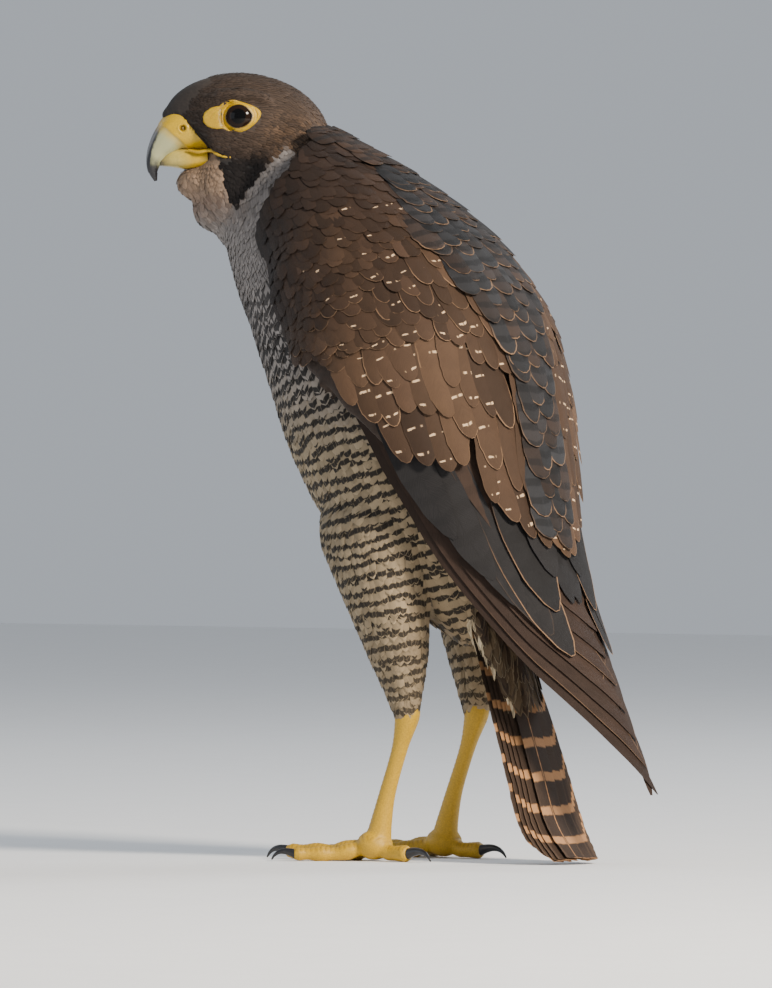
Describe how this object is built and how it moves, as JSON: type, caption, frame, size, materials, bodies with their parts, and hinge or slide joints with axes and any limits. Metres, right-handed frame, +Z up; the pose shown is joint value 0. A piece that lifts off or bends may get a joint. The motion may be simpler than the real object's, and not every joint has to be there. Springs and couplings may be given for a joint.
{
  "type": "peregrine falcon",
  "caption": "Still life-size falcon standing upright on its feet and tail tip, wings folded along its back, head turned to its left, hooked bill and curved claws.",
  "frame": {"origin": "On the floor under the middle of the bird's bounding box.", "axes": "+Z up, -Y the way the breast faces, +X the bird's own left side."},
  "size_m": [0.146, 0.2646, 0.364],
  "materials": {
    "hood": "matte dark brown-grey feathers",
    "breast": "matte pale feathers barred with black",
    "wing": "matte brown feathers with buff spots and pale edges",
    "tail": "matte brown feathers with buff bars",
    "bare_skin": "smooth yellow skin",
    "bill": "polished horn, black at its tip",
    "eye": "wet, nearly black",
    "claw": "polished black horn"
  },
  "bodies": {
    "root": {"head": "hood", "neck": "hood", "torso": "breast", "tail": "tail", "cere": "bare_skin", "bill_upper": "bill", "bill_lower": "bill", "eye_left": "eye", "wing_left": "wing", "thigh_left": "breast", "shank_left": "bare_skin", "foot_left": "bare_skin", "claw_left_inner": "claw", "claw_left_middle": "claw", "claw_left_outer": "claw", "claw_left_hind": "claw", "eye_right": "eye", "wing_right": "wing", "thigh_right": "breast", "shank_right": "bare_skin", "foot_right": "bare_skin", "claw_right_inner": "claw", "claw_right_middle": "claw", "claw_right_outer": "claw", "claw_right_hind": "claw"}
  },
  "joints": []
}
